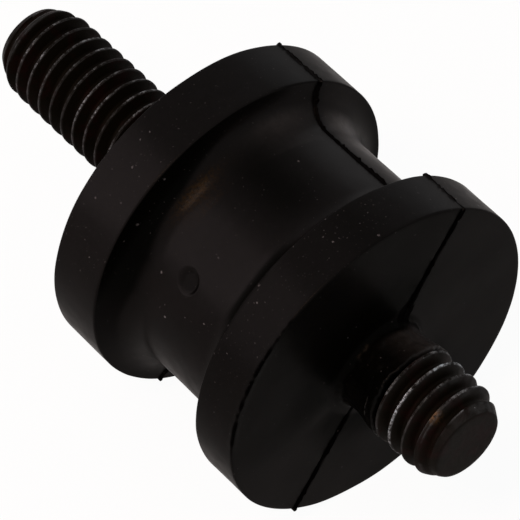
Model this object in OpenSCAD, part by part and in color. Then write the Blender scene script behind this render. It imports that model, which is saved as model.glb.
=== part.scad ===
// Bonded rubber bobbin mount with a threaded stud at each end.
// The stud axis lies along X: the seat face of the long stud is at x = 0, and the short stud points to +X.
// The mount lies on its two flanges, with +Z up.

/* [Rubber body] */
// Diameter of both flanges
flange_d = 28; // [26:0.5:36]
// Diameter of the waist between the flanges
waist_d = 22.4; // [18:0.1:24]
// Length from one seat face to the other
body_len = 21.1; // [19:0.1:40]
// Thickness of the flange at the long stud, at its rim
long_flange_t = 4.9; // [3:0.1:7]
// Thickness of the flange at the short stud, at its rim
short_flange_t = 4.2; // [3:0.1:7]
// Radius of the fillets between the waist and the flanges
root_fillet_r = 2.65; // [0.7:0.05:4]
// Radius of the flanges' rim edges
rim_round_r = 0.15; // [0.1:0.05:1.2]

/* [Mould marks] */
// Height of the flash ridge along the parting line
flash_h = 0.25; // [0.1:0.05:0.5]
// Width of the flash ridge
flash_w = 0.35; // [0.2:0.05:1]
// Turn of the parting plane from upright, in degrees
flash_turn = 34.5; // [0:0.5:90]
// Diameter of the disc round each stud that the flash leaves free
flash_free_d = 10.4; // [10:0.1:14]
// Diameter of the round gate mark on the waist
gate_d = 2.1; // [1:0.1:4]
// Depth of the gate mark
gate_depth = 0.15; // [0.05:0.05:0.5]
// Distance of the gate mark from the long stud's seat face
gate_x = 10.3; // [8:0.1:13]
// Turn of the gate mark from the top, in degrees
gate_turn = 55.5; // [40:0.5:140]

/* [Studs] */
// Outside diameter of the stud threads
thread_d = 7.94; // [7:0.01:9]
// Length of the long stud from its seat face
long_stud_len = 20.9; // [8:0.1:40]
// Length of the short stud from its seat face
short_stud_len = 10.1; // [6:0.1:40]
// Length of the taper at a stud's tip
tip_len = 1.6; // [0.4:0.1:3]
// Diameter of the flat end of a stud
tip_d = 5.9; // [3:0.1:6.9]
// Diameter of the shoulder that is pressed through the anchor plate
shoulder_d = 9.2; // [9.1:0.1:12]
// Diameter of the stud head inside the rubber
head_d = 13; // [12.5:0.1:17]
// Thickness of the stud head
head_t = 2.2; // [1:0.1:3]

/* [Anchor plates] */
// Diameter of the steel plate inside each flange
plate_d = 20; // [18:0.1:24]
// Thickness of the plates
plate_t = 1.5; // [1:0.1:2]
// Thickness of the rubber over each plate, up to the seat face
skin_t = 1.3; // [0.6:0.1:2]

/* [Hidden] */
$fn = 128;
// Allowance by which a cutting tool runs past the surface that it cuts
overrun = 1;
waist_len = body_len - long_flange_t - short_flange_t;
// The fillets end before the rim's rounded edge and meet at most halfway along the waist
fillet_r = min(root_fillet_r, (flange_d - waist_d) / 2 - rim_round_r, waist_len / 2);

// Shapes that repeat

// Half section of one flange, from the axis out to its rim, with both rim edges rounded
module flange_section(rim_r, thickness, edge_r) {
    square([rim_r - edge_r, thickness]);
    translate([0, edge_r])
        square([rim_r, thickness - 2 * edge_r]);
    for (edge_y = [edge_r, thickness - edge_r])
        translate([rim_r - edge_r, edge_y])
            circle(r = edge_r);
}

// Corner between a waist of radius waist_r and a flange face, filled with a round fillet that opens upwards
module fillet_section(waist_r, radius) {
    difference() {
        translate([waist_r, 0])
            square(radius);
        translate([waist_r + radius, radius])
            circle(r = radius);
    }
}

// Half section of the spool, with its whole surface moved outwards by grow
module spool_section(grow) {
    waist_r = waist_d / 2 + grow;
    rim_r = flange_d / 2 + grow;
    edge_r = rim_round_r + grow;
    radius = fillet_r - grow;
    long_face_y = long_flange_t + grow;
    short_face_y = body_len - short_flange_t - grow;
    translate([0, -grow])
        square([waist_r, body_len + 2 * grow]);
    translate([0, -grow])
        flange_section(rim_r, long_flange_t + 2 * grow, edge_r);
    translate([0, short_face_y])
        flange_section(rim_r, short_flange_t + 2 * grow, edge_r);
    translate([0, long_face_y])
        fillet_section(waist_r, radius);
    translate([0, short_face_y])
        mirror([0, 1])
            fillet_section(waist_r, radius);
}

// Turns a shape that stands on Z so that it points along +X from the long stud's seat face
module along_axis() {
    rotate([0, 90, 0])
        children();
}

// Puts a shape that stands on Z at the long stud's seat face, pointing outwards
module at_long_seat() {
    rotate([0, -90, 0])
        children();
}

// Puts a shape that stands on Z at the short stud's seat face, pointing outwards
module at_short_seat() {
    translate([body_len, 0, 0])
        along_axis()
            children();
}

// Stud with its seat face at z = 0: head, shoulder, threaded shank and tapered tip
module stud(length) {
    plate_back = -skin_t - plate_t;
    rotate_extrude()
        polygon([
            [0, plate_back - head_t],
            [head_d / 2, plate_back - head_t],
            [head_d / 2, plate_back],
            [shoulder_d / 2, plate_back],
            [shoulder_d / 2, 0],
            [thread_d / 2, 0],
            [thread_d / 2, length - tip_len],
            [tip_d / 2, length],
            [0, length],
        ]);
}

// Anchor plate under a seat face at z = 0, with the hole that its stud's shoulder fills
module anchor_plate() {
    translate([0, 0, -skin_t - plate_t])
        rotate_extrude()
            translate([shoulder_d / 2, 0])
                square([(plate_d - shoulder_d) / 2, plate_t]);
}

// Everything that the rubber is moulded round
module inserts() {
    at_long_seat() {
        stud(long_stud_len);
        anchor_plate();
    }
    at_short_seat() {
        stud(short_stud_len);
        anchor_plate();
    }
}

// Ridge that the joint between the mould halves leaves all round one lengthwise plane, except next to the studs
module parting_flash() {
    slab_len = body_len + 2 * flash_h + 2 * overrun;
    slab_h = flange_d + 2 * flash_h + 2 * overrun;
    difference() {
        intersection() {
            along_axis()
                rotate_extrude()
                    spool_section(flash_h);
            rotate([-flash_turn, 0, 0])
                translate([body_len / 2, 0, 0])
                    cube([slab_len, flash_w, slab_h], center = true);
        }
        translate([body_len / 2, 0, 0])
            along_axis()
                cylinder(d = flash_free_d, h = slab_len, center = true);
    }
}

// Shallow round recess in the waist
module gate_mark() {
    translate([gate_x, 0, 0])
        rotate([gate_turn, 0, 0])
            translate([0, 0, waist_d / 2 - gate_depth])
                cylinder(d = gate_d, h = gate_depth + overrun);
}

// Sub-parts

// Spool of rubber, moulded round the plates and the stud heads
module rubber_body() {
    color([0.16, 0.15, 0.15])
        difference() {
            union() {
                along_axis()
                    rotate_extrude()
                        spool_section(0);
                parting_flash();
            }
            inserts();
            gate_mark();
        }
}

// Stud at the far end, twice as long as the other
module long_stud() {
    color([0.24, 0.22, 0.20])
        at_long_seat()
            stud(long_stud_len);
}

// Stud at the near end
module short_stud() {
    color([0.26, 0.24, 0.22])
        at_short_seat()
            stud(short_stud_len);
}

// Plate that anchors the long stud in its flange
module long_stud_plate() {
    color([0.45, 0.45, 0.46])
        at_long_seat()
            anchor_plate();
}

// Plate that anchors the short stud in its flange
module short_stud_plate() {
    color([0.45, 0.45, 0.46])
        at_short_seat()
            anchor_plate();
}

rubber_body();
long_stud();
short_stud();
long_stud_plate();
short_stud_plate();
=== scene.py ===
import math

import bmesh
import bpy
import numpy as np
from mathutils import Matrix, Vector, noise

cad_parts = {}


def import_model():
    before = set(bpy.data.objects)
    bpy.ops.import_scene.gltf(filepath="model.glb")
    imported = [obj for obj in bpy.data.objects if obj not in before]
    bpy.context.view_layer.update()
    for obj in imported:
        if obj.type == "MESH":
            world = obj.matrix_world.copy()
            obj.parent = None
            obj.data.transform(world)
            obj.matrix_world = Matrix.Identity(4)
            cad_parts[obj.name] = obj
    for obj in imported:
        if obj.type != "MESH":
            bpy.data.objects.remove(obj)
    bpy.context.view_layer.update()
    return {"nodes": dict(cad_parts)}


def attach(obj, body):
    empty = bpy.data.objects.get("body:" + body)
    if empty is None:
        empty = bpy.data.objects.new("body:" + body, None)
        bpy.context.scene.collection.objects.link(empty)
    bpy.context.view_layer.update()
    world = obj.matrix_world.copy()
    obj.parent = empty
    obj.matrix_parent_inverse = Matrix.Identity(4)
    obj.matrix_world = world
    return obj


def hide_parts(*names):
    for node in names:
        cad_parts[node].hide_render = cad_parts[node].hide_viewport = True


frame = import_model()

# Sizes in millimetres, as in the part's source. A turn angle is measured from +Z towards -Y, about +X.
MM = 0.001
FLANGE_R = 14.0
WAIST_R = 11.2
BODY_LEN = 21.1
LONG_FLANGE_T = 4.9
SHORT_FLANGE_T = 4.2
FILLET_R = 2.65
EDGE_R = 0.15
FLASH_TURN = math.radians(-34.5)
FLASH_H = 0.25
GATE_X = 10.3
GATE_TURN = math.radians(55.5)
GATE_R = 1.05
GATE_DEPTH = 0.15
SHOULDER_R = 4.6
HEAD_R = 6.5
HEAD_T = 2.2
PLATE_R = 10.0
PLATE_T = 1.5
SKIN_T = 1.3
THREAD_R = 3.97
LONG_TIP_X = -20.9
SHORT_TIP_X = 31.2

# Threads: the shank's radius at the run-out, the flat end's radius, and the tapers' lengths
SHANK_R = 3.5
TIP_R = 3.0
LONG_TAPER = 2.1
SHORT_TAPER = 1.8
PITCH = 25.4 / 18
CREST_HALF = PITCH / 20
THREAD_DEPTH = 0.60 * PITCH
ROOT_SOFTNESS = 0.05
# Place of one crest of each stud along the axis, where it crosses the top
LONG_CREST_X = -13.86
SHORT_CREST_X = 26.62
# A stud's mesh: segments round it, and distances from a crest's middle at which it has points
STUD_SEGMENTS = 96
CREST_STATIONS = [0.0, CREST_HALF, 0.095, 0.14, 0.25, 0.38, 0.49, 0.56]
ROOT_STATION = PITCH / 2.0 - 0.06
# A stud's end: its rounded edge as (distance outwards, distance in from the edge), and the flat inside it
# as (distance outwards, share of the end's radius)
END_BULGE = 0.085
END_EDGE = [(0.0, 0.0), (0.045, 0.08), (0.075, 0.2), (END_BULGE, 0.36)]
END_FLAT = [(END_BULGE, 0.75), (0.08, 0.5), (0.07, 0.25)]
# Crest turns, counted from the crest place above towards +X, and how bright each is, from wear and painted
# highlight
LONG_WEAR_AND_HIGHLIGHT = ([-6.0, -4.0, 0.0, 4.0, 9.0], [0.11, 0.12, 0.14, 0.155, 0.14])
SHORT_WEAR_AND_HIGHLIGHT = ([-3.0, -2.0, -1.0, 0.0, 1.0, 2.0, 3.0], [0.14, 0.14, 0.2, 0.9, 0.09, 0.08, 0.08])
# Turns in degrees, and how much of that wear and painted highlight each stud has there
WEAR_AND_HIGHLIGHT_TURNS = [-180.0, -60.0, -20.0, 30.0, 75.0, 120.0, 180.0]
LONG_WEAR_AND_HIGHLIGHT_SHARE = [0.6, 1.0, 1.15, 1.05, 0.75, 0.5, 0.6]
SHORT_WEAR_AND_HIGHLIGHT_SHARE = [0.5, 1.2, 1.1, 0.8, 0.48, 0.22, 0.5]
# How bright other places are worn: flanks, tapers, the edges where a taper cuts the thread (worn, with a
# painted highlight line), and flat ends
SHORT_FLANK_WEAR = 0.03
TAPER_WEAR = 0.028
TAPER_EDGE_WEAR_AND_HIGHLIGHT = 0.13
FLAT_END_WEAR = 0.014
# A painted orange glint on the short stud: place along the axis, turn, and half its size both ways
GLINT_SPOT = (29.5, math.radians(30.0), 0.3, math.radians(7.0))


def smooth(low, high, value):
    """0 below low, 1 above high, with a smooth step between them."""
    share = np.clip((value - low) / (high - low), 0.0, 1.0)
    return share * share * (3.0 - 2.0 * share)


def bell(value, middle, half):
    """1 at the middle, falling to about a third at the distance half on both sides."""
    return np.exp(-(((value - middle) / half) ** 2))


def wrapped(turn):
    """The same turn, brought between minus and plus half a turn."""
    return np.angle(np.exp(1j * turn))


def perlin(points, scale, seed):
    """Perlin noise, about -0.7 to 0.7, at each point, with its waves 1 / scale millimetres long."""
    shift = Vector((17.3 * seed, -9.1 * seed, 5.7 * seed))
    return np.array([noise.noise(Vector(point) * scale + shift) for point in points])


def place(x, r, turn):
    """Points at a place along the axis, a radius and a turn angle."""
    return np.stack([x, -r * np.sin(turn), r * np.cos(turn)], axis=-1)


# Threads

def thread_radius(x, turn, crest_x, tip_x, taper_len, wear_and_highlight, flank_wear):
    """Radius of a stud's thread with its tip taper, and how bright its crest and flanks are, from wear and
    painted highlight.
    """
    turns = (x - crest_x) / PITCH - turn / (2.0 * math.pi)
    offset = np.abs(turns - np.round(turns)) * PITCH
    flank = np.clip(offset - CREST_HALF, 0.0, None) * math.sqrt(3.0)
    # The root is rounded off by a soft minimum of flank and depth
    mix = np.clip(0.5 + 0.5 * (THREAD_DEPTH - flank) / ROOT_SOFTNESS, 0.0, 1.0)
    groove = flank * mix + THREAD_DEPTH * (1.0 - mix) - ROOT_SOFTNESS * mix * (1.0 - mix)
    radius = THREAD_R - groove
    # The last threads are lower, and the taper cuts the end
    from_tip = np.abs(x - tip_x)
    cut = THREAD_R - (THREAD_R - TIP_R) * np.clip(1.0 - from_tip / taper_len, 0.0, 1.0) ** 1.25
    cut = cut - 0.03 * (1.0 - smooth(2.4, 3.8, from_tip))
    # Crest turns are counted from the underside, so each one keeps its wear and painted highlight across the
    # top
    index = np.round((x - crest_x) / PITCH - wrapped(turn) / (2.0 * math.pi))
    crest = np.clip(1.0 - flank / 0.11, 0.0, 1.0) * np.interp(index, wear_and_highlight[0], wear_and_highlight[1])
    crest = np.maximum(crest, flank_wear * np.clip(1.0 - flank / 0.6, 0.0, 1.0))
    over = radius - cut
    taper = TAPER_WEAR + TAPER_EDGE_WEAR_AND_HIGHLIGHT * (1.0 - smooth(0.0, 0.12, over))
    return np.minimum(radius, cut), np.where(over > 0.0, taper, crest)


def long_thread(x, turn):
    """Radius, and wear with painted highlight, of the long stud."""
    radius, crest = thread_radius(x, turn, LONG_CREST_X, LONG_TIP_X, LONG_TAPER, LONG_WEAR_AND_HIGHLIGHT, 0.0)
    return radius, crest * np.interp(np.degrees(wrapped(turn)), WEAR_AND_HIGHLIGHT_TURNS, LONG_WEAR_AND_HIGHLIGHT_SHARE)


def short_thread(x, turn):
    """Radius, and wear with painted highlight, of the short stud."""
    radius, crest = thread_radius(
        x, turn, SHORT_CREST_X, SHORT_TIP_X, SHORT_TAPER, SHORT_WEAR_AND_HIGHLIGHT, SHORT_FLANK_WEAR
    )
    # Next to the seat face the thread runs out into a narrower shank, which the rubber film covers
    run_out = SHANK_R + 0.5 * smooth(2.0, 3.4, x - BODY_LEN)
    degrees = np.degrees(wrapped(turn))
    share = np.interp(degrees, WEAR_AND_HIGHLIGHT_TURNS, SHORT_WEAR_AND_HIGHLIGHT_SHARE)
    # The last threads and the taper are brighter on one side, from wear and painted highlight
    near_tip = 1.0 - smooth(2.6, 4.0, np.abs(x - SHORT_TIP_X))
    share = share * (1.0 + near_tip * bell(degrees, -28.0, 32.0))
    return np.minimum(radius, run_out), crest * share


def glint_spot(x, turn):
    """1 in the middle of the painted glint, falling to 0 round it."""
    at_x, at_turn, half_x, half_turn = GLINT_SPOT
    return bell(x, at_x, half_x) * bell(wrapped(turn - at_turn), 0.0, half_turn)


def mesh_piece(name, vertices, faces, attributes, angle):
    """A mesh object from points in millimetres, welded, its faces turned outwards, sharp from an angle."""
    mesh = bpy.data.meshes.new(name)
    mesh.from_pydata((np.asarray(vertices) * MM).tolist(), [], faces)
    for key, values in attributes.items():
        layer = mesh.attributes.new(key, "FLOAT", "POINT")
        layer.data.foreach_set("value", np.asarray(values, np.float32))
    work = bmesh.new()
    work.from_mesh(mesh)
    bmesh.ops.remove_doubles(work, verts=work.verts, dist=0.004 * MM)
    bmesh.ops.dissolve_degenerate(work, edges=work.edges, dist=0.001 * MM)
    bmesh.ops.recalc_face_normals(work, faces=work.faces)
    work.to_mesh(mesh)
    work.free()
    mesh.shade_smooth()
    mesh.set_sharp_from_angle(angle=math.radians(angle))
    piece = bpy.data.objects.new(name, mesh)
    bpy.context.scene.collection.objects.link(piece)
    return piece


def ring_faces(rings, count, closed_ends):
    """Quads between rings of count points that follow each other, and fans to a point at each closed end."""
    faces = []
    for row in range(rings - 1):
        first, second = row * count, (row + 1) * count
        for i in range(count):
            k = (i + 1) % count
            faces.append((first + i, first + k, second + k, second + i))
    if closed_ends:
        start_point, end_point = rings * count, rings * count + 1
        last = (rings - 1) * count
        for i in range(count):
            k = (i + 1) % count
            faces.append((start_point, k, i))
            faces.append((end_point, last + i, last + k))
    return faces


def stud(name, thread, crest_x, seat_x, tip_x):
    """A stud: head and shoulder as in the CAD model, a helical thread, and a rounded flat end."""
    way = 1.0 if tip_x > seat_x else -1.0
    segments = STUD_SEGMENTS
    stations = sorted([-value for value in CREST_STATIONS[1:]] + CREST_STATIONS + [ROOT_STATION])
    per_pitch = len(stations)
    low_x, high_x = min(seat_x, tip_x), max(seat_x, tip_x)
    first = math.floor((low_x - crest_x) / PITCH) - 2
    last = math.ceil((high_x - crest_x) / PITCH) + 2
    along = np.array([k * PITCH + value for k in range(first, last) for value in stations])
    turn = np.arange(segments) * 2.0 * math.pi / segments
    x = np.clip(crest_x + along[None, :] + PITCH * turn[:, None] / (2.0 * math.pi), low_x, high_x)
    radius, crest = thread(x, turn[:, None])
    helix = place(x, radius, np.broadcast_to(turn[:, None], x.shape))
    rows = len(along)
    vertices = helix.reshape(-1, 3).tolist()
    crest_shine = crest.reshape(-1).tolist()
    glint = glint_spot(x, turn[:, None]).reshape(-1).tolist()
    faces = []
    for i in range(segments):
        for j in range(rows - 1):
            # The last segment joins the first one a pitch further along
            if i < segments - 1:
                faces.append((i * rows + j, (i + 1) * rows + j, (i + 1) * rows + j + 1, i * rows + j + 1))
            elif j + per_pitch + 1 < rows:
                faces.append((i * rows + j, j + per_pitch, j + per_pitch + 1, i * rows + j + 1))

    def cap(rings):
        """Rings of (x, radius) that close one end, each with a point for every segment."""
        start = len(vertices)
        for ring_x, ring_r in rings:
            ring = place(np.full(segments, ring_x), np.broadcast_to(ring_r, (segments,)), turn)
            vertices.extend(ring.tolist())
        faces.extend(
            tuple(start + n for n in face) for face in ring_faces(len(rings), segments, False)
        )
        centre = len(vertices)
        vertices.append([rings[-1][0], 0.0, 0.0])
        crest_shine.extend([FLAT_END_WEAR] * (centre + 1 - start))
        glint.extend([0.0] * (centre + 1 - start))
        last_ring = centre - segments
        for i in range(segments):
            faces.append((last_ring + i, last_ring + (i + 1) % segments, centre))

    tip_r, _ = thread(np.full(segments, tip_x), turn)
    tip = [(tip_x + way * out, tip_r - inwards) for out, inwards in END_EDGE]
    tip += [(tip_x + way * out, share * tip_r) for out, share in END_FLAT]
    cap(tip)
    seat_r, _ = thread(np.full(segments, seat_x), turn)
    back = seat_x - way * (SKIN_T + PLATE_T)
    cap(
        [
            (seat_x, seat_r),
            (seat_x, SHOULDER_R),
            (back, SHOULDER_R),
            (back, HEAD_R),
            (back - way * HEAD_T, HEAD_R),
            (back - way * HEAD_T, 0.4 * HEAD_R),
        ]
    )
    return mesh_piece(name, vertices, faces, {"crest": crest_shine, "glint": glint}, angle=50.0)


# Rubber body

# Radius at which the seat faces end and the films over the studs start
FACE_START_R = 4.8
# Steps along the section: on the faces, on rims and waist, and round the gate mark within its zone
FACE_STEP = 0.3
BODY_STEP = 0.22
GATE_STEP = 0.1
GATE_ZONE = 1.3
EDGE_POINTS = 5
FILLET_POINTS = 18


def line(start, end, step):
    """Points from start up to, but without, end."""
    count = max(1, round(math.dist(start, end) / step))
    share = np.arange(count) / count
    return [tuple(np.add(start, np.subtract(end, start) * s)) for s in share]


def arc(centre, radius, from_deg, to_deg, count):
    """Points on an arc of the section, without its last one; 0 degrees points along +X and 90 outwards."""
    angles = np.radians(np.linspace(from_deg, to_deg, count + 1)[:-1])
    return [(centre[0] + radius * math.cos(a), centre[1] + radius * math.sin(a)) for a in angles]


def outer_section():
    """The spool's outside from the long seat face to the short one, as (x, radius) points."""
    inner_x = BODY_LEN - SHORT_FLANGE_T
    edge_low = FLANGE_R - EDGE_R
    fillet_r = WAIST_R + FILLET_R
    gate_low, gate_high = GATE_X - GATE_ZONE, GATE_X + GATE_ZONE
    points = line((0.0, FACE_START_R), (0.0, edge_low), FACE_STEP)
    points += arc((EDGE_R, edge_low), EDGE_R, 180, 90, EDGE_POINTS)
    points += line((EDGE_R, FLANGE_R), (LONG_FLANGE_T - EDGE_R, FLANGE_R), BODY_STEP)
    points += arc((LONG_FLANGE_T - EDGE_R, edge_low), EDGE_R, 90, 0, EDGE_POINTS)
    points += arc((LONG_FLANGE_T + FILLET_R, fillet_r), FILLET_R, 180, 270, FILLET_POINTS)
    points += line((LONG_FLANGE_T + FILLET_R, WAIST_R), (gate_low, WAIST_R), BODY_STEP)
    points += line((gate_low, WAIST_R), (gate_high, WAIST_R), GATE_STEP)
    points += line((gate_high, WAIST_R), (inner_x - FILLET_R, WAIST_R), BODY_STEP)
    points += arc((inner_x - FILLET_R, fillet_r), FILLET_R, 270, 360, FILLET_POINTS)
    points += arc((inner_x + EDGE_R, edge_low), EDGE_R, 180, 90, EDGE_POINTS)
    points += line((inner_x + EDGE_R, FLANGE_R), (BODY_LEN - EDGE_R, FLANGE_R), BODY_STEP)
    points += arc((BODY_LEN - EDGE_R, edge_low), EDGE_R, 90, 0, EDGE_POINTS)
    points += line((BODY_LEN, edge_low), (BODY_LEN, FACE_START_R), FACE_STEP)
    points.append((BODY_LEN, FACE_START_R))
    return np.array(points)


# Lengthwise lines closer to a flash line than NEAR_DEG at the rim keep their distance from the flash plane
# at every radius, and those further away than WIDE_DEG keep their turn
NEAR_DEG = math.degrees(math.asin(0.55 / FLANGE_R))
WIDE_DEG = 16.0
# Half the turn round the gate mark in which the lines are dense
GATE_DEG = 7.5
# Further in than this radius the lines keep the turns that they have at it
LEAST_LINE_R = 3.5


def turn_lines():
    """Nominal turns from the first flash line, in degrees: dense at both flash lines and the gate mark."""
    near = [math.degrees(math.asin(t / FLANGE_R)) for t in (0.04, 0.08, 0.12, 0.16, 0.2, 0.26, 0.38)]
    side = near + np.linspace(NEAR_DEG, WIDE_DEG, 10, endpoint=False).tolist()
    gate = math.degrees(GATE_TURN - FLASH_TURN)
    first_half = np.linspace(WIDE_DEG, gate - GATE_DEG, 44, endpoint=False).tolist()
    first_half += np.linspace(gate - GATE_DEG, gate + GATE_DEG, 30, endpoint=False).tolist()
    first_half += np.linspace(gate + GATE_DEG, 180.0 - WIDE_DEG, 44).tolist()
    second_half = np.linspace(WIDE_DEG, 180.0 - WIDE_DEG, 98).tolist()
    lines = [0.0] + side + first_half + [180.0 - a for a in reversed(side)]
    lines += [180.0] + [180.0 + a for a in side] + [180.0 + a for a in second_half]
    lines += [360.0 - a for a in reversed(side)]
    return np.array(lines)


LINES = turn_lines()


def turns_at(radius, wobble=(0.0, 0.0)):
    """Turn angle of each line at a radius, with each flash line moved sideways by its wobble."""
    reach = max(radius, LEAST_LINE_R)
    turns = np.empty(len(LINES))
    near_here = math.degrees(math.asin(FLANGE_R * math.sin(math.radians(NEAR_DEG)) / reach))
    for n, nominal in enumerate(LINES):
        base = 180.0 * round(nominal / 180.0)
        away = nominal - base
        size = abs(away)
        if size <= NEAR_DEG:
            shift = wobble[int(base / 180.0) % 2] * (1.0 - size / NEAR_DEG)
            distance = FLANGE_R * math.sin(math.radians(away)) + shift
            turns[n] = base + math.degrees(math.asin(distance / reach))
        elif size < WIDE_DEG:
            share = (size - NEAR_DEG) / (WIDE_DEG - NEAR_DEG)
            turns[n] = base + math.copysign(near_here + share * (WIDE_DEG - near_here), away)
        else:
            turns[n] = nominal
    return np.radians(turns) + FLASH_TURN


# Where the flash stands higher, on each of the two flash lines: (x, radius), extra height, half its length
FLASH_NUBS = (
    [((0.0, 14.0), 0.06, 0.3), ((16.9, 14.0), 0.08, 0.3), ((5.4, 12.8), 0.24, 1.0)],
    [((21.1, 14.0), 0.06, 0.3), ((4.9, 14.0), 0.08, 0.3)],
)
# Least and greatest height of the flash. A nub's extra height past the last value adds to the greatest.
FLASH_LEAST_H = 0.04
FLASH_GREATEST_H = 0.3
FLASH_SPARE_H = 0.1
# Distance of each line from the nearest flash line, in millimetres at the rim, and which flash line that is
FLASH_DISTANCE = FLANGE_R * np.sin(np.radians(np.abs(((LINES + 90.0) % 180.0) - 90.0)))
FLASH_SIDE = np.where((LINES > 90.0) & (LINES < 270.0), 1, 0)
# 1 on the flash lines, falling to 0 beside them, lower and narrower on the rims
FLASH_RIDGE = 1.0 - smooth(0.03, 0.12, FLASH_DISTANCE)
FLASH_RIM_RIDGE = 0.8 * (1.0 - smooth(0.0, 0.09, FLASH_DISTANCE))
# 1 in the narrow grooves on both sides of the flash lines
FLASH_GROOVE = bell(FLASH_DISTANCE, 0.16, 0.06)


def flash_height(x, radius, along, side):
    """Height of the flash ridge at a place along the section, ragged, with taller nubs at some rim edges."""
    ragged = noise.noise(Vector((along * 1.1, 3.7 + side * 11.0, 0.0)))
    fine = noise.noise(Vector((along * 3.9, 8.1 + side * 7.0, 2.0)))
    height = FLASH_H * (0.6 + 0.5 * ragged + 0.8 * fine)
    limit = FLASH_GREATEST_H
    for (nub_x, nub_r), extra, half in FLASH_NUBS[side]:
        share = bell(math.hypot(x - nub_x, radius - nub_r), 0.0, half)
        height += extra * share
        limit += max(0.0, extra - FLASH_SPARE_H) * share
    return min(max(height, FLASH_LEAST_H), limit)


def flash_drift(along, side):
    """Sideways shift of a flash line at a place along the section."""
    slow = noise.noise(Vector((along * 0.35, 20.0 + side, 1.0)))
    quick = noise.noise(Vector((along * 1.9, 40.0 + side, 1.0)))
    return 0.08 * slow + 0.05 * quick


def flash_strip(x, radius, ragged):
    """How torn and dark the strip along the flash is, as torn rubber darkened with painted shade: thin on
    the rims, wide on the faces, at the stud.
    """
    amount = 1.0
    if radius > FLANGE_R - 0.1:
        reach = 0.03
    elif LONG_FLANGE_T < x < BODY_LEN - SHORT_FLANGE_T:
        reach = 0.15
        amount = 0.8
    else:
        widening = 0.28 * (1.0 - smooth(4.8, 8.0, radius))
        foot = 0.9 * (1.0 - smooth(4.8, 5.5, radius))
        reach = np.where(FLASH_SIDE == 0, 0.21 + widening + foot, 0.19)
    reach = reach + ragged
    return amount * (1.0 - smooth(reach - 0.03, reach + 0.06, FLASH_DISTANCE))


# The film's foot on the seat face and its outside over the thread, as (distance from the face, radius)
FILM_FOOT_LONG = [
    (0.0, FACE_START_R), (0.012, 4.62), (0.018, 4.45), (0.03, 4.34), (0.07, 4.26), (0.14, 4.22), (0.25, 4.19)
]
FILM_LONG = [(0.38, 4.17), (1.1, 4.02)]
FILM_FOOT_SHORT = [
    (0.0, FACE_START_R), (0.015, 4.55), (0.04, 4.3), (0.1, 4.08), (0.2, 3.94), (0.36, 3.84), (0.56, 3.77)
]
FILM_SHORT = [(0.7, 3.75), (1.5, 3.74), (2.2, 3.78), (2.8, 3.89), (3.3, 4.0), (3.6, 4.02)]
# The film's rounded end, as (distance, radius) from its last point outwards and then in
FILM_LIP = [(0.0, 0.0), (0.06, -0.05), (0.11, -0.14), (0.14, -0.32), (0.15, -0.52)]
FILM_STEP = 0.13
# Radius at which the film's unevenness is taken, its least height over the thread, and the gap under it
FILM_R = 4.0
FILM_LEAST_T = 0.012
FILM_GAP = 0.004
# Painted shade: how black the film is at turns in degrees
FILM_SHADE_TURNS = (
    [-180.0, -70.0, -35.0, -5.0, 20.0, 60.0, 95.0, 140.0, 180.0],
    [0.4, 0.0, 0.0, 0.3, 0.8, 1.0, 0.6, 0.4, 0.4],
)


def film_marks(seat_x, out, radius, degrees):
    """Torn places, painted shade and painted highlight round the film at a distance from the seat face."""
    # Painted shade on the film near the seat face, and a painted contact shadow at its foot
    shade = (1.0 - smooth(0.6, 1.5, out)) * smooth(-50.0, -28.0, degrees)
    shade = shade * (1.0 - 0.5 * smooth(70.0, 120.0, degrees)) * (1.0 - smooth(140.0, 178.0, degrees))
    at_foot = (1.0 - smooth(0.2, 0.6, out)) * (1.0 - smooth(4.2, 4.6, radius))
    # Painted highlight on the film's pale side
    pale = smooth(-178.0, -130.0, degrees) * (1.0 - smooth(-40.0, 25.0, degrees))
    return {
        "torn_and_shade": flash_strip(seat_x, FACE_START_R, 0.0) * (1.0 - smooth(0.2, 0.8, out)),
        "film": np.interp(degrees, FILM_SHADE_TURNS[0], FILM_SHADE_TURNS[1]),
        "recess": np.maximum(shade, 0.95 * at_foot),
        "painted_highlight": 0.3 * pale * smooth(0.35, 1.0, out),
    }


def film_rows(seat_x, way, thread, foot, outside, seed):
    """Rows of the thin rubber film that runs out over a stud's first threads: outside, lip, inside."""
    start, (length, lip_r) = outside[0][0], outside[-1]
    outs = np.linspace(start, length, max(4, round((length - start) / FILM_STEP)), endpoint=False)
    spread = foot + list(zip(outs, np.interp(outs, *zip(*outside))))
    spread += [(length + out, lip_r + rise) for out, rise in FILM_LIP]
    rows = []
    for out, radius in spread:
        turn = turns_at(radius)
        count = len(turn)
        ring = place(np.full(count, out), np.full(count, FILM_R), turn)
        lumps = perlin(ring, 0.8, seed) * 0.1 + perlin(ring, 2.4, seed + 1) * 0.06
        lip = place(np.zeros(count), np.full(count, FILM_R), turn)
        # Along the lip the film ends in the thread's groove, and steps back one pitch at the underside
        winding = wrapped(turn)
        helix = winding * (1.0 - smooth(2.4, math.pi, np.abs(winding)))
        end = PITCH * helix / (2.0 * math.pi)
        end = end + perlin(lip, 0.5, seed + 2) * 0.2 + perlin(lip, 2.2, seed + 3) * 0.12
        x = seat_x + way * out + end * smooth(0.3, 1.0, out / length) * min(1.0, length / 2.0)
        metal, _ = thread(x, turn)
        marks = film_marks(seat_x, out, radius, np.degrees(winding))
        near_face = 1.0 - smooth(0.02, 0.3, out)
        radius = radius + lumps * smooth(0.0, 0.4, out) + FLASH_RIDGE * FLASH_H * near_face
        rows.append((x, np.maximum(radius, metal + FILM_LEAST_T), turn, marks))
    for out in np.linspace(length, 0.0, 11):
        turn = turns_at(THREAD_R)
        x = np.full(len(turn), seat_x + way * out)
        metal, _ = thread(x, turn)
        rows.append((x, metal + FILM_GAP, turn, {"film": 1.0}))
    return rows


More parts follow.
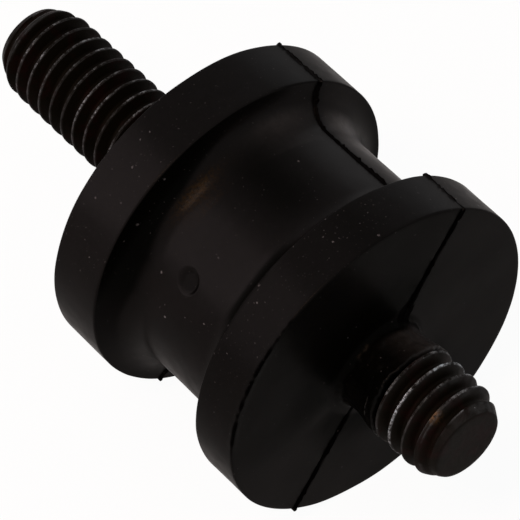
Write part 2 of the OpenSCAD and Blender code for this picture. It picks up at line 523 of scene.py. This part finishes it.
def cavity_rows(seat_x, way):
    """Rows of the hollow that the stud and its plate fill, from the seat face inwards."""
    back = SKIN_T + PLATE_T
    depths = [(0.0, SHOULDER_R), (SKIN_T, SHOULDER_R), (SKIN_T, PLATE_R), (back, PLATE_R), (back, HEAD_R)]
    depths += [(back + HEAD_T, HEAD_R), (back + HEAD_T, 0.5 * HEAD_R)]
    rows = []
    for depth, radius in depths:
        turn = turns_at(radius)
        rows.append((np.full(len(turn), seat_x - way * depth), np.full(len(turn), radius), turn, {}))
    return rows


# Turns in degrees, and from which radius and how much painted shade the flanges' inner sides have there
SHADE_TURNS = [-20.0, 0.0, 15.0, 30.0, 45.0, 60.0, 75.0, 90.0, 125.0]
SHADE_LOW_R = [12.9, 12.9, 12.15, 11.68, 11.5, 11.27, 11.36, 11.9, 12.9]
SHADE_SHARE = [0.0, 0.5, 0.85, 1.0, 1.0, 1.0, 0.9, 0.7, 0.0]
# Turns in degrees, and how much painted shade the rims have there
SHORT_RIM_SHADE = (
    [-40.0, -20.0, -8.0, 2.0, 12.0, 18.0, 30.0, 50.0, 70.0, 125.0, 165.0],
    [0.0, 0.4, 0.35, 0.54, 0.38, 0.36, 0.48, 0.56, 0.36, 0.4, 0.0],
)
LONG_RIM_SHADE = (
    [-62.0, -50.0, -42.0, -36.0, -20.0, -10.0, 25.0, 60.0, 95.0, 110.0, 140.0],
    [0.4, 0.4, 0.0, 0.4, 0.54, 0.25, 0.36, 0.0, 0.0, 0.4, 0.4],
)


def between(degrees, rise_from, rise_to, fall_from, fall_to):
    """1 between two turns, with a smooth rise before and a smooth fall behind."""
    return smooth(rise_from, rise_to, degrees) * (1.0 - smooth(fall_from, fall_to, degrees))


def short_face_shade(radius, degrees):
    """Painted shade on the short stud's seat face: beside the flash, most of all at the stud, and under the
    stud.
    """
    beside = between(degrees, -50.0, -25.0, 90.0, 125.0) * (0.6 + 0.35 * (1.0 - smooth(6.5, 10.0, radius)))
    under = smooth(100.0, 130.0, np.abs(degrees)) * (1.0 - smooth(5.6, 9.6, radius))
    return np.maximum(beside, under)


def short_rim_shade(x, degrees):
    """Painted shade on the short flange's rim, with a black painted shadow along its edge towards the waist.
    """
    edge = between(degrees, 22.0, 34.0, 52.0, 64.0) * (1.0 - smooth(17.0, 17.3, x))
    return np.maximum(np.interp(degrees, SHORT_RIM_SHADE[0], SHORT_RIM_SHADE[1]), 0.85 * edge)


def waist_marks(x, radius, degrees):
    """Painted shade, a brown stain that is partly a painted warm highlight, and painted highlight on the
    flanges' inner sides, in the fillets and on the waist.
    """
    low = np.interp(degrees, SHADE_TURNS, SHADE_LOW_R)
    # Painted shade on the flanges' inner sides
    inner_sides = np.interp(degrees, SHADE_TURNS, SHADE_SHARE) * smooth(-0.1, 0.35, radius - low)
    # Painted shade on the waist's top, along the short flange's back edge and in the middle
    top = 0.8 * bell(degrees, 5.0, 16.0) * math.exp(-(((x - 10.2) / 4.2) ** 4))
    behind = 0.85 * between(degrees, 10.0, 26.0, 52.0, 64.0) * smooth(14.5, 15.1, x)
    middle = 0.25 * bell(degrees, 38.0, 16.0) * bell(x, 11.5, 3.5)
    recess = np.maximum.reduce([inner_sides, top, behind, middle])
    stain_and_highlight = np.zeros(len(degrees))
    painted_highlight = np.zeros(len(degrees))
    # On one side of the flash the painted highlight runs from the fillet's foot along the waist, up to the
    # flash
    before_flash = 1.0 - smooth(-40.0, -35.5, degrees)
    if x < GATE_X + 4.0:
        down = (1.0 - smooth(11.15, 12.3, radius)) * (1.0 - smooth(7.5, 14.2, x))
        painted_highlight = 1.1 * down * bell(degrees, -55.0, 12.0) * before_flash
    # The long stud's fillet has a brown stain, partly a painted warm highlight, with painted shade at its
    # ends, and weaker painted highlight on both sides of the flash
    if x < GATE_X - 2.0:
        stain_and_highlight = bell(degrees, 28.0, 10.0) * bell(radius, WAIST_R + 0.28, 0.22)
        ends = bell(degrees, 29.0, 20.0) * bell(radius, WAIST_R + 0.4, 0.25)
        recess = np.maximum(recess, 0.42 * ends)
        painted_highlight = painted_highlight + 0.2 * bell(degrees, -16.0, 14.0) * bell(radius, WAIST_R + 0.53, 0.5)
        painted_highlight = painted_highlight + 0.08 * smooth(12.0, 12.6, radius) * bell(degrees, -52.0, 12.0) * before_flash
    return recess, stain_and_highlight, painted_highlight


def painted_light_and_stain(x, radius, degrees):
    """How dull and black with painted shade, how brown with stain and painted highlight, and how pale with
    painted highlight the rubber is round one place of the section.
    """
    clean = np.zeros(len(degrees))
    if x > BODY_LEN - 0.02:
        return short_face_shade(radius, degrees), clean, clean
    if radius > FLANGE_R - EDGE_R and x > GATE_X:
        return short_rim_shade(x, degrees), clean, clean
    if radius > FLANGE_R - EDGE_R:
        return np.interp(degrees, LONG_RIM_SHADE[0], LONG_RIM_SHADE[1]), clean, clean
    if LONG_FLANGE_T - 0.02 < x < BODY_LEN - SHORT_FLANGE_T + 0.02:
        return waist_marks(x, radius, degrees)
    return clean, clean, clean


def gate_mark(x, turn, radius):
    """The radius with the gate mark pressed in, and where its floor and the part of its wall in painted
    shade are.
    """
    across = WAIST_R * (turn - GATE_TURN)
    distance = np.hypot(x - GATE_X, across)
    # Its slope is gentle on the side of the long stud
    gentle = np.clip((GATE_X - x) / np.maximum(distance, 0.01), 0.0, 1.0)
    inside = 1.0 - smooth(GATE_R - 0.24 - 0.4 * gentle, GATE_R + 0.06, distance)
    floor_r = (WAIST_R - GATE_DEPTH) / np.cos(np.clip(turn - GATE_TURN, -0.3, 0.3))
    raised = 0.02 * (1.0 - gentle) * bell(distance, GATE_R + 0.1, 0.09)
    # Its wall has painted shade on the side of the short stud
    facing = np.clip((x - GATE_X + 0.14 * across) / np.maximum(distance, 0.01), 0.0, 1.0)
    wall = bell(distance, GATE_R - 0.12, 0.13) * smooth(0.78, 0.97, facing)
    return radius * (1.0 - inside) + floor_r * inside + raised, inside, wall


def spool_rows():
    """Rows of the spool's outside, with flash ridge, gate mark and the unevenness of moulded rubber."""
    section = outer_section()
    tangent = np.gradient(section, axis=0)
    tangent /= np.linalg.norm(tangent, axis=1)[:, None]
    along = np.concatenate([[0.0], np.cumsum(np.linalg.norm(np.diff(section, axis=0), axis=1))])
    rows = []
    for (x0, r0), (tx, tr), s in zip(section, tangent, along):
        turn = turns_at(r0, [flash_drift(s, side) for side in (0, 1)])
        degrees = np.degrees(wrapped(turn))
        x = np.full(len(turn), x0)
        radius = np.full(len(turn), r0)
        rest = place(x, radius, turn)
        lift = perlin(rest, 0.23, 4) * 0.05 + perlin(rest, 0.9, 5) * 0.006
        height = np.array([flash_height(x0, r0, s, side) for side in (0, 1)])[FLASH_SIDE]
        fade = smooth(4.6, 5.6, r0)
        groove_depth = 0.01 if r0 > FLANGE_R - 0.1 else 0.07
        ridge = FLASH_RIM_RIDGE if r0 > FLANGE_R - 0.02 else FLASH_RIDGE
        lift = lift * fade + ridge * height - groove_depth * FLASH_GROOVE * fade
        torn_and_shade = flash_strip(x0, r0, 0.07 * noise.noise(Vector((s * 2.3, 60.0, 1.0))))
        # The outer edge of the short flange carries a low, torn lip, darkened with painted shade
        lip = bell(x0, BODY_LEN - 0.04, 0.13) * bell(r0, FLANGE_R - 0.04, 0.13)
        if lip > 0.05:
            rag = np.clip(0.6 + perlin(rest, 0.5, 7) * 0.6 + perlin(rest, 2.1, 8) * 0.8, 0.0, 1.0)
            rag = rag * between(degrees, 20.0, 54.0, 76.0, 96.0)
            lift = lift + 0.12 * lip * rag
            torn_and_shade = np.maximum(torn_and_shade, np.clip(1.6 * lip, 0.0, 1.0) * np.clip(1.4 * rag, 0.0, 1.0))
        x = x - tr * lift
        radius = radius + tx * lift
        # Painted shade, a brown stain that is partly a painted highlight, and painted highlight
        recess, stain_and_highlight, painted_highlight = painted_light_and_stain(x0, r0, degrees)
        # The gate mark's floor and one side of its wall get painted shade
        if abs(x0 - GATE_X) < GATE_ZONE + 0.05:
            radius, inside, wall = gate_mark(x0, turn, radius)
            torn_and_shade = np.maximum(torn_and_shade, 0.8 * wall)
            recess = np.maximum(recess, 0.46 * inside)
        rows.append((x, radius, turn, {"torn_and_shade": torn_and_shade, "recess": recess, "stain_and_highlight": stain_and_highlight, "painted_highlight": painted_highlight}))
    return rows


def rubber_mesh():
    """The rubber body: hollow at the long stud, film, spool, film, hollow at the short stud."""
    rows = list(reversed(cavity_rows(0.0, -1.0)))
    rows += list(reversed(film_rows(0.0, -1.0, long_thread, FILM_FOOT_LONG, FILM_LONG, 11)))
    rows += spool_rows()[1:-1]
    rows += film_rows(BODY_LEN, 1.0, short_thread, FILM_FOOT_SHORT, FILM_SHORT, 21)
    rows += cavity_rows(BODY_LEN, 1.0)
    count = len(LINES)
    points = np.concatenate([place(x, radius, turn) for x, radius, turn, _ in rows])
    deep = SKIN_T + PLATE_T + HEAD_T
    points = np.concatenate([points, [[deep, 0.0, 0.0], [BODY_LEN - deep, 0.0, 0.0]]])
    layers = {}
    for key in ("torn_and_shade", "film", "recess", "stain_and_highlight", "painted_highlight"):
        values = [np.broadcast_to(marks.get(key, 0.0), (count,)) for _, _, _, marks in rows]
        layers[key] = np.concatenate(values + [[0.0, 0.0]])
    return mesh_piece("rubber_spool", points, ring_faces(len(rows), count, True), layers, angle=65.0)


# Materials

RUBBER_DARK = (0.0024, 0.0021, 0.0020, 1.0)
RUBBER_LIGHT = (0.0036, 0.0030, 0.0029, 1.0)
RUBBER_PATCH = (0.0028, 0.0027, 0.0024, 1.0)
UPWARD_HAZE = (0.0046, 0.0041, 0.0042, 1.0)
DUST_GRAIN = (0.070, 0.067, 0.070, 1.0)
BROWN_STAIN_AND_HIGHLIGHT = (0.0210, 0.0112, 0.0028, 1.0)
PAINTED_HIGHLIGHT_GREY = (0.080, 0.077, 0.078, 1.0)
SHADE_BLACK = (0.0007, 0.0007, 0.0005, 1.0)
TORN_AND_SHADED_RUBBER = (0.0002, 0.0001, 0.0001, 1.0)
BLACK_OXIDE = (0.0030, 0.0024, 0.0014, 1.0)
BROWN_OXIDE = (0.0058, 0.0021, 0.0017, 1.0)
PAINTED_GLINT = (0.09, 0.045, 0.014, 1.0)
BRIGHT_STEEL = (0.36, 0.39, 0.42, 1.0)
PLATE_DARK = (0.40, 0.40, 0.41, 1.0)
PLATE_LIGHT = (0.50, 0.50, 0.51, 1.0)
WHITE = (1.0, 1.0, 1.0, 1.0)
FLOOR_GREY = (0.86, 0.86, 0.86, 1.0)
# Dust grains: cells per millimetre, share of cells with one, least and greatest radius, shift, brightness
DUST_GRAINS = (
    (1.1, 0.44, 0.06, 0.15, 3.1, 1.0),
    (2.6, 0.46, 0.03, 0.08, 8.4, 0.6),
    (4.6, 0.40, 0.02, 0.05, 5.2, 0.45),
)


def put(tree, socket, value):
    """Gives a socket its value: a link from another socket, or a constant."""
    if isinstance(value, bpy.types.NodeSocket):
        tree.links.new(value, socket)
    else:
        socket.default_value = value


def math_node(tree, operation, first, second):
    """Result of a math node on two values."""
    made = tree.nodes.new("ShaderNodeMath")
    made.operation = operation
    put(tree, made.inputs[0], first)
    put(tree, made.inputs[1], second)
    return made.outputs[0]


def span_node(tree, value, from_low, from_high, to_low, to_high):
    """A value moved from one range to another with a smooth step, and held at its ends."""
    made = tree.nodes.new("ShaderNodeMapRange")
    made.interpolation_type = "SMOOTHSTEP"
    put(tree, made.inputs["Value"], value)
    made.inputs["From Min"].default_value = from_low
    made.inputs["From Max"].default_value = from_high
    made.inputs["To Min"].default_value = to_low
    made.inputs["To Max"].default_value = to_high
    return made.outputs["Result"]


class Nodes:
    """Short ways to make and join the nodes of one material, with its texture places in millimetres."""

    def __init__(self, name):
        self.material = bpy.data.materials.new(name)
        self.material.use_nodes = True
        self.tree = self.material.node_tree
        self.shader = self.tree.nodes["Principled BSDF"]
        coords = self.tree.nodes.new("ShaderNodeTexCoord")
        self.mm = self.vector("MULTIPLY", coords.outputs["Object"], (1000.0, 1000.0, 1000.0))

    def vector(self, operation, first, second):
        made = self.tree.nodes.new("ShaderNodeVectorMath")
        made.operation = operation
        put(self.tree, made.inputs[0], first)
        put(self.tree, made.inputs[1], second)
        return made.outputs["Vector"]

    def math(self, operation, first, second):
        return math_node(self.tree, operation, first, second)

    def times(self, first, second):
        return math_node(self.tree, "MULTIPLY", first, second)

    def span(self, value, from_low, from_high, to_low=0.0, to_high=1.0):
        return span_node(self.tree, value, from_low, from_high, to_low, to_high)

    def noise(self, scale, detail=3.0, rough=0.55, stretch=(1.0, 1.0, 1.0), shift=0.0, warp=0.0):
        made = self.tree.nodes.new("ShaderNodeTexNoise")
        place_at = self.vector("MULTIPLY", self.mm, stretch)
        put(self.tree, made.inputs["Vector"], self.vector("ADD", place_at, (shift, 1.7 * shift, -shift)))
        made.inputs["Scale"].default_value = scale
        made.inputs["Detail"].default_value = detail
        made.inputs["Roughness"].default_value = rough
        made.inputs["Distortion"].default_value = warp
        return made.outputs["Fac"]

    def mix(self, share, first, second):
        made = self.tree.nodes.new("ShaderNodeMix")
        made.data_type = "RGBA"
        put(self.tree, made.inputs["Factor"], share)
        put(self.tree, made.inputs[6], first)
        put(self.tree, made.inputs[7], second)
        return made.outputs[2]

    def attribute(self, name):
        made = self.tree.nodes.new("ShaderNodeAttribute")
        made.attribute_name = name
        return made.outputs["Fac"]

    def normal_z(self):
        made = self.tree.nodes.new("ShaderNodeNewGeometry")
        split = self.tree.nodes.new("ShaderNodeSeparateXYZ")
        self.tree.links.new(made.outputs["Normal"], split.inputs[0])
        return split.outputs["Z"]

    def axis_distance(self):
        made = self.tree.nodes.new("ShaderNodeVectorMath")
        made.operation = "LENGTH"
        put(self.tree, made.inputs[0], self.vector("MULTIPLY", self.mm, (0.0, 1.0, 1.0)))
        return made.outputs["Value"]

    def specks(self, scale, share, small, large, shift):
        """1 on small grains: this share of the cells carries one."""
        made = self.tree.nodes.new("ShaderNodeTexVoronoi")
        crooked = self.tree.nodes.new("ShaderNodeTexNoise")
        put(self.tree, crooked.inputs["Vector"], self.mm)
        crooked.inputs["Scale"].default_value = 5.0
        bent = self.vector("MULTIPLY", crooked.outputs["Color"], (0.22, 0.22, 0.22))
        bent = self.vector("ADD", bent, (shift, -shift, 2.0 * shift))
        put(self.tree, made.inputs["Vector"], self.vector("ADD", self.mm, bent))
        made.inputs["Scale"].default_value = scale
        split = self.tree.nodes.new("ShaderNodeSeparateColor")
        self.tree.links.new(made.outputs["Color"], split.inputs[0])
        there = self.math("LESS_THAN", split.outputs["Red"], share)
        size = self.span(split.outputs["Green"], 0.0, 1.0, small * scale, large * scale)
        round_off = self.math("DIVIDE", made.outputs["Distance"], size)
        return self.times(self.span(round_off, 1.0, 0.3), there)

    def bump(self, height, depth_mm, strength, normal=None):
        made = self.tree.nodes.new("ShaderNodeBump")
        made.inputs["Strength"].default_value = strength
        made.inputs["Distance"].default_value = depth_mm * MM
        put(self.tree, made.inputs["Height"], height)
        if normal is not None:
            put(self.tree, made.inputs["Normal"], normal)
        return made.outputs["Normal"]

    def set(self, **values):
        for key, value in values.items():
            put(self.tree, self.shader.inputs[key.replace("_", " ")], value)


def rubber_material():
    """Black moulded rubber, paler where it faces up, with grains of dust, painted shade, a brown stain that
    is partly a painted highlight, painted highlight, and torn edges darkened with painted shade.
    """
    make = Nodes("matt_rubber")
    torn_and_shade = make.attribute("torn_and_shade")
    film = make.attribute("film")
    recess = make.attribute("recess")
    stain_and_highlight = make.attribute("stain_and_highlight")
    painted_highlight = make.attribute("painted_highlight")
    blotch = make.span(make.noise(0.22, 4.0, 0.6, shift=3.0), 0.35, 0.68)
    patch = make.span(make.noise(0.55, 3.0, 0.6, shift=9.0, warp=0.6), 0.42, 0.66)
    colour = make.mix(blotch, RUBBER_DARK, RUBBER_LIGHT)
    colour = make.mix(make.times(patch, 0.5), colour, RUBBER_PATCH)
    # What faces up is paler, in a cloudy haze, and most single grains of dust lie on it too
    upward = make.span(make.normal_z(), 0.0, 0.7)
    haze = make.span(make.noise(1.6, 5.0, 0.7, shift=5.0), 0.3, 0.7, 0.5, 1.0)
    colour = make.mix(make.times(upward, haze), colour, UPWARD_HAZE)
    # A brown stain on the long stud's fillet, partly a painted warm highlight
    grit = make.noise(4.5, 3.0, 0.6, shift=21.0)
    gritty = make.times(stain_and_highlight, make.span(grit, 0.42, 0.6, 0.15, 1.0))
    colour = make.mix(gritty, colour, BROWN_STAIN_AND_HIGHLIGHT)
    # Painted highlight on the waist, the fillets and the film
    cloudy = make.times(painted_highlight, make.span(haze, 0.5, 1.0, 0.75, 1.0))
    colour = make.mix(cloudy, colour, PAINTED_HIGHLIGHT_GREY)
    # Painted shade, on the film and where the painted shade mark says so
    colour = make.mix(make.math("MAXIMUM", film, recess), colour, SHADE_BLACK)
    # Torn rubber along the flash, the gate and the lip, darkened with painted shade
    colour = make.mix(torn_and_shade, colour, TORN_AND_SHADED_RUBBER)
    # Most of the grains lie on the rims, few on the waist and hardly any on the faces
    outside = make.span(make.axis_distance(), 11.6, 13.6, 0.3, 1.0)
    open_to = make.times(outside, make.span(upward, 0.0, 0.6, 0.12, 1.0))
    grains = 0.0
    for scale, share, small, large, shift, brightness in DUST_GRAINS:
        specks = make.specks(scale, make.times(open_to, share), small, large, shift)
        grains = make.math("MAXIMUM", grains, make.times(specks, brightness))
    dusty = make.span(make.noise(0.12, 2.0, shift=31.0), 0.36, 0.6, 0.45, 1.0)
    colour = make.mix(make.times(grains, dusty), colour, DUST_GRAIN)
    rough = make.span(make.noise(0.8, 4.0, shift=14.0), 0.3, 0.7, 0.29, 0.39)
    rough = make.math("ADD", rough, make.times(torn_and_shade, 0.45))
    normal = make.bump(make.noise(1.3, 3.0, 0.5, shift=6.0), 0.010, 0.4)
    normal = make.bump(make.noise(7.0, 3.0, 0.6, shift=1.0), 0.003, 0.4, normal)
    normal = make.bump(make.times(grit, stain_and_highlight), 0.06, 0.6, normal)
    make.set(Base_Color=colour, Roughness=rough, Normal=normal, Specular_IOR_Level=0.006)
    # A weak sheen as on moulded rubber, with little of it where shade is painted and hardly any on torn
    # rubber
    dull = make.math("MAXIMUM", torn_and_shade, make.times(recess, 0.8))
    sheen = make.span(dull, 0.0, 1.0, 0.053, 0.002)
    make.set(Coat_Weight=sheen, Coat_IOR=1.5, Coat_Roughness=0.27, Coat_Normal=normal)
    return make.material


def stud_material():
    """Black oxide steel, bright where the crest mark says so, from wear and painted highlight, with a
    painted orange glint.
    """
    make = Nodes("black_oxide_steel")
    crest = make.attribute("crest")
    crest_shine = make.span(make.noise(0.4, 4.0, 0.7, shift=4.0), 0.42, 0.62, 0.2, 1.5)
    scratch = make.span(make.noise(2.6, 4.0, 0.75, shift=12.0), 0.42, 0.62, 0.12, 1.4)
    # Crests are worn in patches and scratched, and their brightness is partly painted highlight; flanks and
    # tapers are mottled, and the flat ends are even
    mean_wear = 0.6
    uneven = make.math("SUBTRACT", make.times(crest_shine, scratch), mean_wear)
    uneven = make.times(uneven, make.span(crest, 0.07, 0.14))
    mottle = make.span(make.noise(0.9, 4.0, 0.65, shift=25.0, warp=0.4), 0.3, 0.7, -0.5, 0.5)
    low_mark = make.times(make.span(crest, 0.014, 0.026), make.span(crest, 0.07, 0.14, 1.0, 0.0))
    uneven = make.math("ADD", uneven, make.times(mottle, low_mark))
    bright = make.times(crest, make.math("ADD", uneven, mean_wear))
    # Single bright nicks on crests and tapers, which also serve as painted glints
    nicks_and_glints = make.times(make.specks(2.4, 0.14, 0.03, 0.08, 6.3), make.span(crest, 0.02, 0.06, 0.0, 0.5))
    bright = make.math("MAXIMUM", bright, nicks_and_glints)
    brown = make.span(make.noise(0.5, 4.0, 0.65, shift=8.0, warp=0.5), 0.45, 0.7)
    colour = make.mix(brown, BLACK_OXIDE, BROWN_OXIDE)
    grit = make.span(make.noise(4.0, 3.0, 0.6, shift=17.0), 0.4, 0.6, 0.1, 1.0)
    # A painted orange glint on the short stud
    colour = make.mix(make.times(make.attribute("glint"), grit), colour, PAINTED_GLINT)
    colour = make.mix(bright, colour, BRIGHT_STEEL)
    rough = make.span(make.noise(2.2, 4.0, 0.6, shift=2.0), 0.3, 0.7, 0.34, 0.5)
    normal = make.bump(make.noise(5.0, 4.0, 0.65, shift=3.0), 0.012, 0.6)
    make.set(Base_Color=colour, Roughness=rough, Normal=normal, Metallic=bright, Specular_IOR_Level=0.011)
    return make.material


def plate_material():
    """Plain steel with fine streaks."""
    make = Nodes("plain_plate_steel")
    streak = make.noise(2.0, 4.0, 0.6, stretch=(1.0, 0.15, 3.0), shift=3.0)
    colour = make.mix(streak, PLATE_DARK, PLATE_LIGHT)
    rough = make.span(streak, 0.3, 0.7, 0.3, 0.5)
    make.set(Base_Color=colour, Roughness=rough, Normal=make.bump(streak, 0.01, 0.5), Metallic=1.0)
    return make.material


# The pieces

rubber = rubber_mesh()
rubber.data.materials.append(rubber_material())
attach(rubber, "root")
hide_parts("rubber_body")

steel = stud_material()
long_piece = stud("long_threaded_stud", long_thread, LONG_CREST_X, 0.0, LONG_TIP_X + END_BULGE)
short_piece = stud("short_threaded_stud", short_thread, SHORT_CREST_X, BODY_LEN, SHORT_TIP_X - END_BULGE)
for piece, node_name in ((long_piece, "long_stud"), (short_piece, "short_stud")):
    piece.data.materials.append(steel)
    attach(piece, "root")
    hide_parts(node_name)

plate_steel = plate_material()
for node_name in ("long_stud_plate", "short_stud_plate"):
    plate = frame["nodes"][node_name]
    plate.data.materials.clear()
    plate.data.materials.append(plate_steel)


# Camera, floor and light

# The photograph's camera, fitted to the outline: lens and sensor, place, and two of its directions
LENS_MM = 303.98
SENSOR_MM = 36.0
CAMERA_PLACE = (172.364, -135.725, 254.179)
CAMERA_RIGHT = (0.6353, 0.7723, 0.0)
CAMERA_BACK = (0.4958, -0.4079, 0.7667)
# Share of plain white in what the camera and what reflections see of the floor; the rest shows its shadow
FLOOR_TO_CAMERA = 0.95
FLOOR_IN_REFLECTIONS = 0.5
FLOOR_R = 2.0
# Point that the lamps are aimed at
LIT_POINT = (5.0, 0.0, 0.0)


def camera():
    """The camera at the photograph's viewing angle."""
    lens = bpy.data.cameras.new("photo_camera")
    lens.lens = LENS_MM
    lens.sensor_width = SENSOR_MM
    lens.clip_start = 0.01
    lens.clip_end = 10.0
    seen = bpy.data.objects.new("photo_camera", lens)
    bpy.context.scene.collection.objects.link(seen)
    back = Vector(CAMERA_BACK).normalized()
    up = back.cross(Vector(CAMERA_RIGHT)).normalized()
    right = up.cross(back)
    turned = Matrix((right, up, back)).transposed().to_4x4()
    seen.matrix_world = Matrix.Translation(Vector(CAMERA_PLACE) * MM) @ turned
    bpy.context.scene.camera = seen


def floor():
    """A pale floor, white to the camera with a trace of shadow, with more of the shadow in reflections."""
    under = (0.0, 0.0, -FLANGE_R * MM)
    bpy.ops.mesh.primitive_circle_add(vertices=96, radius=FLOOR_R, fill_type="NGON", location=under)
    ground = bpy.context.active_object
    ground.name = "floor"
    material = bpy.data.materials.new("pale_floor")
    material.use_nodes = True
    tree = material.node_tree
    tree.nodes.clear()
    output = tree.nodes.new("ShaderNodeOutputMaterial")
    diffuse = tree.nodes.new("ShaderNodeBsdfDiffuse")
    diffuse.inputs["Color"].default_value = FLOOR_GREY
    white = tree.nodes.new("ShaderNodeEmission")
    white.inputs["Color"].default_value = WHITE
    white.inputs["Strength"].default_value = 1.0
    ray = tree.nodes.new("ShaderNodeLightPath").outputs
    share = math_node(tree, "MAXIMUM", ray["Is Glossy Ray"], ray["Is Transmission Ray"])
    share = math_node(tree, "MULTIPLY", share, FLOOR_IN_REFLECTIONS)
    direct = math_node(tree, "MULTIPLY", ray["Is Camera Ray"], FLOOR_TO_CAMERA)
    mix = tree.nodes.new("ShaderNodeMixShader")
    put(tree, mix.inputs[0], math_node(tree, "MAXIMUM", share, direct))
    put(tree, mix.inputs[1], diffuse.outputs[0])
    put(tree, mix.inputs[2], white.outputs[0])
    put(tree, output.inputs["Surface"], mix.outputs[0])
    ground.data.materials.append(material)


def area_light(name, place_mm, size_mm, watts, colour):
    """A soft lamp aimed at the object; the first of its two sizes lies along Y as far as the aim allows."""
    lamp = bpy.data.lights.new(name, "AREA")
    lamp.shape = "ELLIPSE"
    lamp.size = size_mm[0] * MM
    lamp.size_y = size_mm[1] * MM
    lamp.energy = watts
    lamp.color = colour
    made = bpy.data.objects.new(name, lamp)
    bpy.context.scene.collection.objects.link(made)
    at = Vector(place_mm) * MM
    away = (at - Vector(LIT_POINT) * MM).normalized()
    across = (Vector((0.0, 1.0, 0.0)) - away * away.y).normalized()
    turned = Matrix((across, away.cross(across), away)).transposed().to_4x4()
    made.matrix_world = Matrix.Translation(at) @ turned


def world():
    """White to the camera and in reflections; as light it is brightest at the horizon and dim overhead."""
    sky = bpy.data.worlds.new("studio")
    bpy.context.scene.world = sky
    sky.use_nodes = True
    tree = sky.node_tree
    back = tree.nodes["Background"]
    back.inputs["Color"].default_value = WHITE
    coords = tree.nodes.new("ShaderNodeTexCoord")
    split = tree.nodes.new("ShaderNodeSeparateXYZ")
    put(tree, split.inputs[0], coords.outputs["Generated"])
    level = span_node(tree, split.outputs["Z"], 0.1, 0.8, 1.0, 0.3)
    path = tree.nodes.new("ShaderNodeLightPath")
    for ray in ("Is Camera Ray", "Is Glossy Ray", "Is Transmission Ray"):
        level = math_node(tree, "MAXIMUM", path.outputs[ray], level)
    put(tree, back.inputs["Strength"], level)


camera()
floor()
world()
area_light("key_softbox", (-340.0, -410.0, 300.0), (560.0, 560.0), 2.3, (1.0, 0.8, 0.8))
area_light("rear_softbox", (-270.0, 470.0, 60.0), (360.0, 360.0), 0.37, (0.98, 0.97, 1.0))
area_light("front_lamp", (95.0, -250.0, 420.0), (150.0, 90.0), 1.0, (1.0, 0.62, 0.42))
bpy.context.scene.view_settings.view_transform = "Standard"
